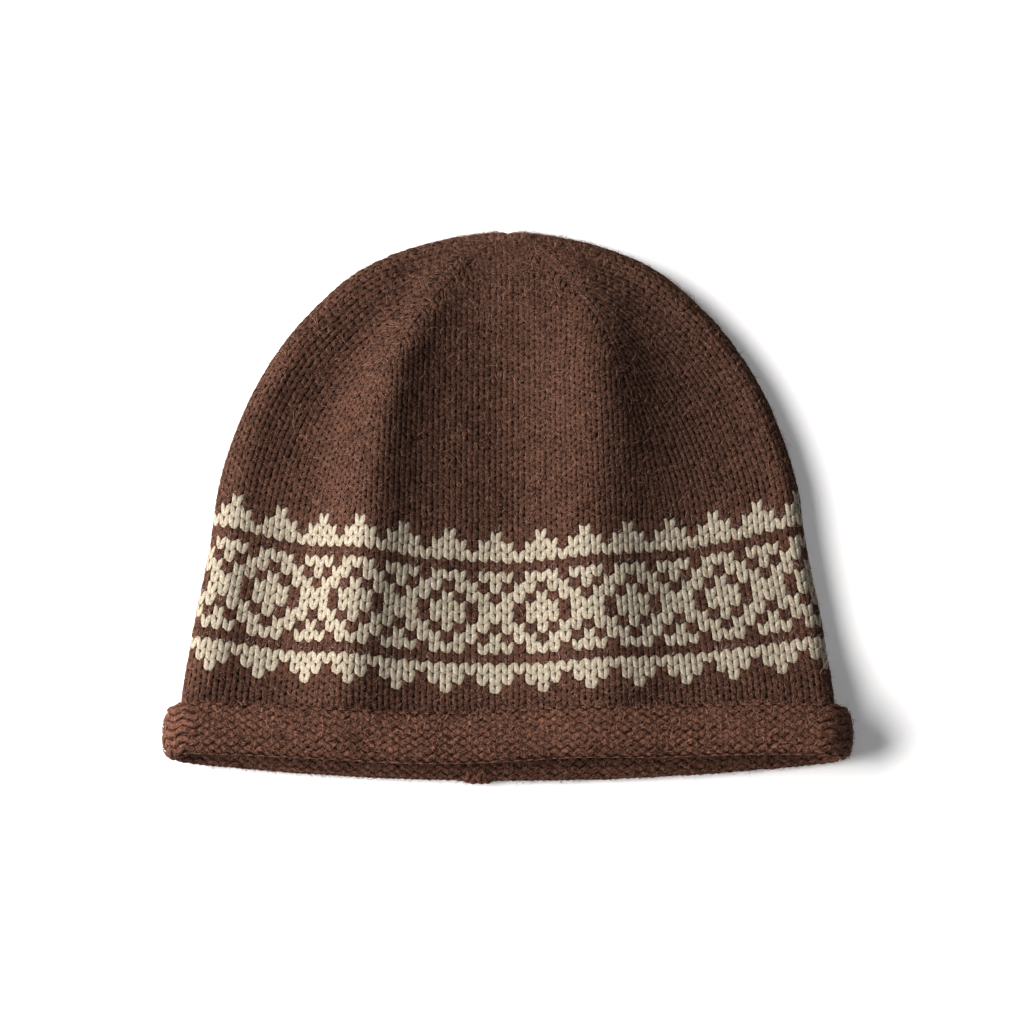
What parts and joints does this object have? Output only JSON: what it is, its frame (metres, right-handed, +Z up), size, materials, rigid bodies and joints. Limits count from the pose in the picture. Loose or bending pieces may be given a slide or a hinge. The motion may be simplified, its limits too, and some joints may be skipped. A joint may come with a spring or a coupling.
{
  "type": "knit beanie hat",
  "caption": "Soft knitted beanie lying flat on its back, with a rounded plain crown, a two-colour patterned band and a brim that rolls outward around an open mouth.",
  "frame": {"origin": "middle of the bounding box on the surface the hat lies on", "axes": "+Z up from the surface, +Y from the open mouth toward the top of the crown, +X to the right across the hat seen from above with the crown up"},
  "size_m": [0.2318, 0.194, 0.0277],
  "materials": {
    "plain_knit": "matte heathered wool",
    "patterned_knit": "matte wool in two colours",
    "brim_knit": "matte heathered wool, reverse side out"
  },
  "bodies": {
    "root": {"crown": "plain_knit", "pattern_band": "patterned_knit", "rolled_brim": "brim_knit"}
  },
  "joints": []
}
